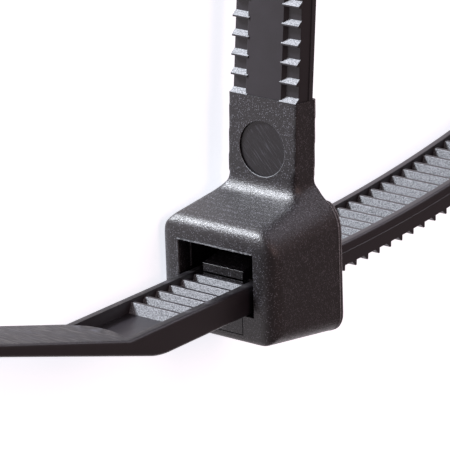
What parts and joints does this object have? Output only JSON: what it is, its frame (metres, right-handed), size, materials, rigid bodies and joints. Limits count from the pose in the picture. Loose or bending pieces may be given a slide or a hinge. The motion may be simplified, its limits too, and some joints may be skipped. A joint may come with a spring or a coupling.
{
  "type": "cable tie",
  "caption": "One-piece moulded nylon cable tie, closed into a loop: toothed strap drawn through a head with a ratchet pawl, with a flat bent tail.",
  "frame": {"origin": "centre of the round part of the loop, half way across the strap", "axes": "+Z square to the loop's plane, across the strap; the tie lies on its side; +X from the head's front face to its back, +Y along the head from the slot towards the neck"},
  "size_m": [0.089, 0.0546, 0.0082],
  "materials": {
    "nylon": "black nylon, fine spark-eroded texture on head and neck, smooth strap"
  },
  "bodies": {
    "root": {"cable_tie": "nylon"}
  },
  "joints": []
}
